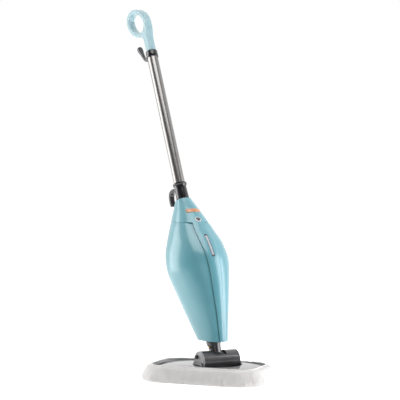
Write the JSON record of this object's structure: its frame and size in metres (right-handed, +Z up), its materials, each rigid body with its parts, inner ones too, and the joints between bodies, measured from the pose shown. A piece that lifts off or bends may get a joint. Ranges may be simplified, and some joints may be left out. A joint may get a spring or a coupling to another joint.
{
  "type": "steam mop",
  "caption": "Upright steam mop: bonnet pad head on a swivel and tilt joint, spindle-shaped body with tank and boiler, steel tube, loop handle and cord hooks.",
  "frame": {"origin": "middle of the pad's sole, on the floor", "axes": "+Z up, -Y towards the mop's front, the tilt axis parallel to X; the tube leans back towards +Y at rest"},
  "size_m": [0.324, 0.7295, 1.0564],
  "materials": {
    "pad_fabric": "soft terry microfibre",
    "white_plastic": "satin",
    "cover_plastic": "gloss",
    "joint_plastic": "semi-gloss dark grey",
    "black_plastic": "gloss black",
    "body_plastic": "high gloss pale aqua",
    "handle_plastic": "semi-gloss pale aqua",
    "window_plastic": "clear, lightly smoked",
    "badge_plastic": "gloss orange",
    "inner_plastic": "matte, glass-filled",
    "board_plastic": "solder mask green",
    "hose_rubber": "matte",
    "tube_steel": "polished stainless",
    "fastener_steel": "zinc plated",
    "screw_brass": "dull",
    "boiler_alloy": "cast"
  },
  "bodies": {
    "head": {"microfibre_pad": "pad_fabric", "base_plate": "white_plastic", "head_cover": "cover_plastic", "steam_diffuser": "inner_plastic", "glide_ring": "white_plastic", "cover_screw_1": "fastener_steel", "cover_screw_2": "fastener_steel", "cover_screw_3": "fastener_steel", "cover_screw_4": "fastener_steel"},
    "swivel_joint": {"joint_saddle": "joint_plastic", "barrel_housing": "joint_plastic", "end_cap_right": "joint_plastic", "end_cap_left": "joint_plastic", "lock_spring": "fastener_steel"},
    "lock_button": {"lock_button": "black_plastic"},
    "handle_unit": {"pivot_spool": "joint_plastic", "neck": "joint_plastic", "neck_screw": "screw_brass", "bottom_cover": "body_plastic", "left_panel": "body_plastic", "right_panel": "body_plastic", "front_spine": "body_plastic", "rear_shell": "body_plastic", "shoulder_shell": "body_plastic", "water_window": "window_plastic", "front_badge": "badge_plastic", "button_bezel": "white_plastic", "chassis_spine": "inner_plastic", "water_tank": "window_plastic", "pump": "inner_plastic", "boiler": "boiler_alloy", "thermostat": "inner_plastic", "thermal_fuse": "white_plastic", "control_board": "board_plastic", "tank_hose": "hose_rubber", "pump_hose": "hose_rubber", "steam_hose": "hose_rubber", "switch_module": "inner_plastic", "button_spring": "fastener_steel", "cord_gland": "hose_rubber", "tube_socket": "inner_plastic", "collar": "black_plastic", "lower_cord_hook": "black_plastic", "steel_tube": "tube_steel", "handle_plug": "inner_plastic", "ferrule": "black_plastic", "hook_pin": "fastener_steel", "handle_left": "handle_plastic", "handle_right": "handle_plastic"},
    "power_button": {"power_button": "joint_plastic"},
    "filler_cap": {"filler_cap": "body_plastic"},
    "upper_cord_hook": {"upper_cord_hook": "black_plastic"}
  },
  "joints": [
    {"name": "head_swivel", "type": "hinge", "parent": "head", "child": "swivel_joint", "pos_m": [0.01706, -0.01962, 0.053], "axis": [0, 0, 1], "range_deg": [-139, 41]},
    {"name": "handle_pitch", "type": "hinge", "parent": "swivel_joint", "child": "handle_unit", "pos_m": [0.01706, -0.01962, 0.053], "axis": [1, 0, 0], "range_deg": [-34, 26]},
    {"name": "lock_press", "type": "slide", "parent": "swivel_joint", "child": "lock_button", "axis": [1, 0, 0], "range_m": [0, 0.0015], "stiffness_N_per_m": 500},
    {"name": "button_press", "type": "slide", "parent": "handle_unit", "child": "power_button", "axis": [0, 0.6918, -0.7221], "range_m": [0, 0.002], "stiffness_N_per_m": 500},
    {"name": "filler_cap_hinge", "type": "hinge", "parent": "handle_unit", "child": "filler_cap", "pos_m": [0.01706, 0.20255, 0.36076], "axis": [1, 0, 0], "range_deg": [0, 90]},
    {"name": "hook_swivel", "type": "hinge", "parent": "handle_unit", "child": "upper_cord_hook", "pos_m": [0.01706, 0.42507, 0.90087], "axis": [0, 0.8988, -0.4384], "range_deg": [0, 180]}
  ]
}
